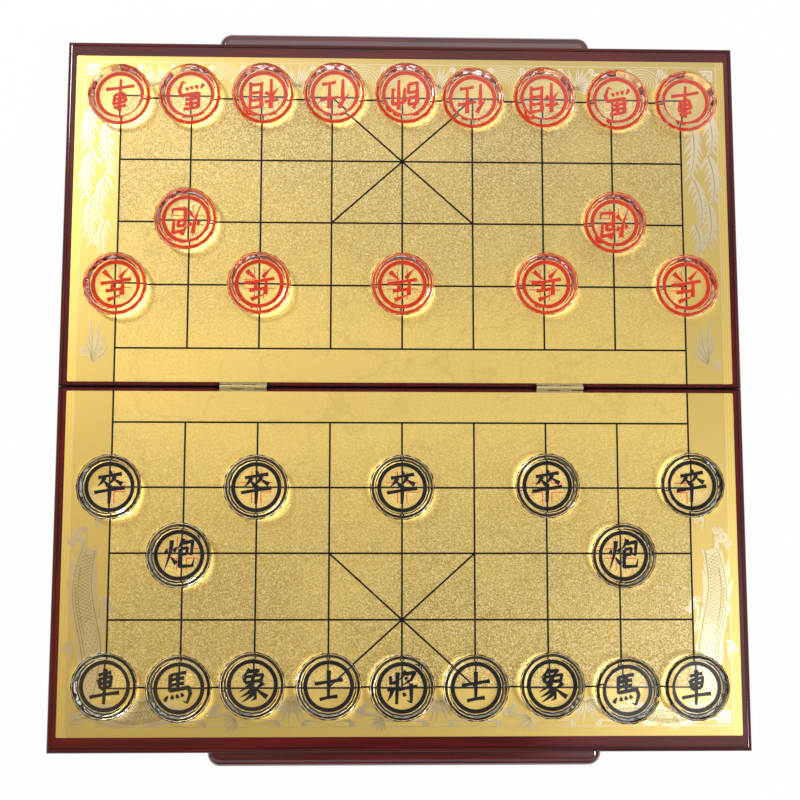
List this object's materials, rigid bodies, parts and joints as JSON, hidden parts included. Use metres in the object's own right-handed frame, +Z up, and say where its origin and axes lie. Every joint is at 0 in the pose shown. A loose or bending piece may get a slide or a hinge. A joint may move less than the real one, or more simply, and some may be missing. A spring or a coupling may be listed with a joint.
{
  "type": "folding xiangqi board box",
  "caption": "Folding xiangqi board box lying open: hinged lacquered half cases with gold playing plates, drawers in their outer edges, and cut-glass men set up on the board.",
  "frame": {"origin": "middle of the underside, below the hinge line, with the box lying open", "axes": "+X along the hinge line, +Y to the far (red) half, +Z up out of the playing faces"},
  "size_m": [0.372, 0.4026, 0.0385],
  "materials": {
    "lacquered_wood": "dark red-brown lacquer, glossy",
    "lacquered_panel": "dark red-brown lacquer, satin",
    "core_board": "fibre board",
    "raw_wood": "planed light wood, clear satin",
    "gold_plate": "gold foil plate, stippled field and polished border",
    "hinge_brass": "polished brass",
    "hinge_pin_steel": "drawn steel",
    "drawer_lining": "golden flocked cloth",
    "cut_glass": "clear polished cut glass"
  },
  "bodies": {
    "near_case": {"near_case_frame": "lacquered_wood", "near_top_board": "core_board", "near_base_board": "lacquered_panel", "near_board_plate": "gold_plate", "near_drawer_guides": "raw_wood", "left_hinge_near_leaf": "hinge_brass", "right_hinge_near_leaf": "hinge_brass", "left_hinge_pin": "hinge_pin_steel", "right_hinge_pin": "hinge_pin_steel"},
    "far_case": {"far_case_frame": "lacquered_wood", "far_top_board": "core_board", "far_base_board": "lacquered_panel", "far_board_plate": "gold_plate", "far_drawer_guides": "raw_wood", "left_hinge_far_leaf": "hinge_brass", "right_hinge_far_leaf": "hinge_brass"},
    "near_drawer": {"near_drawer_front": "lacquered_wood", "near_drawer_box": "raw_wood", "near_drawer_bottom": "raw_wood", "near_drawer_lining": "drawer_lining"},
    "far_drawer": {"far_drawer_front": "lacquered_wood", "far_drawer_box": "raw_wood", "far_drawer_bottom": "raw_wood", "far_drawer_lining": "drawer_lining"},
    "black_chariot_left": {"black_chariot_left": "cut_glass"},
    "black_horse_left": {"black_horse_left": "cut_glass"},
    "black_elephant_left": {"black_elephant_left": "cut_glass"},
    "black_advisor_left": {"black_advisor_left": "cut_glass"},
    "black_general": {"black_general": "cut_glass"},
    "black_advisor_right": {"black_advisor_right": "cut_glass"},
    "black_elephant_right": {"black_elephant_right": "cut_glass"},
    "black_horse_right": {"black_horse_right": "cut_glass"},
    "black_chariot_right": {"black_chariot_right": "cut_glass"},
    "black_cannon_left": {"black_cannon_left": "cut_glass"},
    "black_cannon_right": {"black_cannon_right": "cut_glass"},
    "black_soldier_1": {"black_soldier_1": "cut_glass"},
    "black_soldier_2": {"black_soldier_2": "cut_glass"},
    "black_soldier_3": {"black_soldier_3": "cut_glass"},
    "black_soldier_4": {"black_soldier_4": "cut_glass"},
    "black_soldier_5": {"black_soldier_5": "cut_glass"},
    "red_chariot_left": {"red_chariot_left": "cut_glass"},
    "red_horse_left": {"red_horse_left": "cut_glass"},
    "red_elephant_left": {"red_elephant_left": "cut_glass"},
    "red_advisor_left": {"red_advisor_left": "cut_glass"},
    "red_general": {"red_general": "cut_glass"},
    "red_advisor_right": {"red_advisor_right": "cut_glass"},
    "red_elephant_right": {"red_elephant_right": "cut_glass"},
    "red_horse_right": {"red_horse_right": "cut_glass"},
    "red_chariot_right": {"red_chariot_right": "cut_glass"},
    "red_cannon_left": {"red_cannon_left": "cut_glass"},
    "red_cannon_right": {"red_cannon_right": "cut_glass"},
    "red_soldier_1": {"red_soldier_1": "cut_glass"},
    "red_soldier_2": {"red_soldier_2": "cut_glass"},
    "red_soldier_3": {"red_soldier_3": "cut_glass"},
    "red_soldier_4": {"red_soldier_4": "cut_glass"},
    "red_soldier_5": {"red_soldier_5": "cut_glass"}
  },
  "joints": [
    {"name": "case_fold", "type": "hinge", "parent": "near_case", "child": "far_case", "pos_m": [0, 0, 0.0285], "axis": [1, 0, 0], "range_deg": [0, 120]},
    {"name": "near_drawer_slide", "type": "slide", "parent": "near_case", "child": "near_drawer", "axis": [0, -1, 0], "range_m": [0, 0.12]},
    {"name": "far_drawer_slide", "type": "slide", "parent": "far_case", "child": "far_drawer", "axis": [0, 1, 0], "range_m": [0, 0.12]},
    {"name": "black_chariot_left_lift", "type": "slide", "parent": "near_case", "child": "black_chariot_left", "axis": [0, 0, 1], "range_m": [0, 0.01]},
    {"name": "black_horse_left_lift", "type": "slide", "parent": "near_case", "child": "black_horse_left", "axis": [0, 0, 1], "range_m": [0, 0.01]},
    {"name": "black_elephant_left_lift", "type": "slide", "parent": "near_case", "child": "black_elephant_left", "axis": [0, 0, 1], "range_m": [0, 0.01]},
    {"name": "black_advisor_left_lift", "type": "slide", "parent": "near_case", "child": "black_advisor_left", "axis": [0, 0, 1], "range_m": [0, 0.01]},
    {"name": "black_general_lift", "type": "slide", "parent": "near_case", "child": "black_general", "axis": [0, 0, 1], "range_m": [0, 0.01]},
    {"name": "black_advisor_right_lift", "type": "slide", "parent": "near_case", "child": "black_advisor_right", "axis": [0, 0, 1], "range_m": [0, 0.01]},
    {"name": "black_elephant_right_lift", "type": "slide", "parent": "near_case", "child": "black_elephant_right", "axis": [0, 0, 1], "range_m": [0, 0.01]},
    {"name": "black_horse_right_lift", "type": "slide", "parent": "near_case", "child": "black_horse_right", "axis": [0, 0, 1], "range_m": [0, 0.01]},
    {"name": "black_chariot_right_lift", "type": "slide", "parent": "near_case", "child": "black_chariot_right", "axis": [0, 0, 1], "range_m": [0, 0.01]},
    {"name": "black_cannon_left_lift", "type": "slide", "parent": "near_case", "child": "black_cannon_left", "axis": [0, 0, 1], "range_m": [0, 0.01]},
    {"name": "black_cannon_right_lift", "type": "slide", "parent": "near_case", "child": "black_cannon_right", "axis": [0, 0, 1], "range_m": [0, 0.01]},
    {"name": "black_soldier_1_lift", "type": "slide", "parent": "near_case", "child": "black_soldier_1", "axis": [0, 0, 1], "range_m": [0, 0.01]},
    {"name": "black_soldier_2_lift", "type": "slide", "parent": "near_case", "child": "black_soldier_2", "axis": [0, 0, 1], "range_m": [0, 0.01]},
    {"name": "black_soldier_3_lift", "type": "slide", "parent": "near_case", "child": "black_soldier_3", "axis": [0, 0, 1], "range_m": [0, 0.01]},
    {"name": "black_soldier_4_lift", "type": "slide", "parent": "near_case", "child": "black_soldier_4", "axis": [0, 0, 1], "range_m": [0, 0.01]},
    {"name": "black_soldier_5_lift", "type": "slide", "parent": "near_case", "child": "black_soldier_5", "axis": [0, 0, 1], "range_m": [0, 0.01]},
    {"name": "red_chariot_left_lift", "type": "slide", "parent": "far_case", "child": "red_chariot_left", "axis": [0, 0, 1], "range_m": [0, 0.01]},
    {"name": "red_horse_left_lift", "type": "slide", "parent": "far_case", "child": "red_horse_left", "axis": [0, 0, 1], "range_m": [0, 0.01]},
    {"name": "red_elephant_left_lift", "type": "slide", "parent": "far_case", "child": "red_elephant_left", "axis": [0, 0, 1], "range_m": [0, 0.01]},
    {"name": "red_advisor_left_lift", "type": "slide", "parent": "far_case", "child": "red_advisor_left", "axis": [0, 0, 1], "range_m": [0, 0.01]},
    {"name": "red_general_lift", "type": "slide", "parent": "far_case", "child": "red_general", "axis": [0, 0, 1], "range_m": [0, 0.01]},
    {"name": "red_advisor_right_lift", "type": "slide", "parent": "far_case", "child": "red_advisor_right", "axis": [0, 0, 1], "range_m": [0, 0.01]},
    {"name": "red_elephant_right_lift", "type": "slide", "parent": "far_case", "child": "red_elephant_right", "axis": [0, 0, 1], "range_m": [0, 0.01]},
    {"name": "red_horse_right_lift", "type": "slide", "parent": "far_case", "child": "red_horse_right", "axis": [0, 0, 1], "range_m": [0, 0.01]},
    {"name": "red_chariot_right_lift", "type": "slide", "parent": "far_case", "child": "red_chariot_right", "axis": [0, 0, 1], "range_m": [0, 0.01]},
    {"name": "red_cannon_left_lift", "type": "slide", "parent": "far_case", "child": "red_cannon_left", "axis": [0, 0, 1], "range_m": [0, 0.01]},
    {"name": "red_cannon_right_lift", "type": "slide", "parent": "far_case", "child": "red_cannon_right", "axis": [0, 0, 1], "range_m": [0, 0.01]},
    {"name": "red_soldier_1_lift", "type": "slide", "parent": "far_case", "child": "red_soldier_1", "axis": [0, 0, 1], "range_m": [0, 0.01]},
    {"name": "red_soldier_2_lift", "type": "slide", "parent": "far_case", "child": "red_soldier_2", "axis": [0, 0, 1], "range_m": [0, 0.01]},
    {"name": "red_soldier_3_lift", "type": "slide", "parent": "far_case", "child": "red_soldier_3", "axis": [0, 0, 1], "range_m": [0, 0.01]},
    {"name": "red_soldier_4_lift", "type": "slide", "parent": "far_case", "child": "red_soldier_4", "axis": [0, 0, 1], "range_m": [0, 0.01]},
    {"name": "red_soldier_5_lift", "type": "slide", "parent": "far_case", "child": "red_soldier_5", "axis": [0, 0, 1], "range_m": [0, 0.01]}
  ]
}
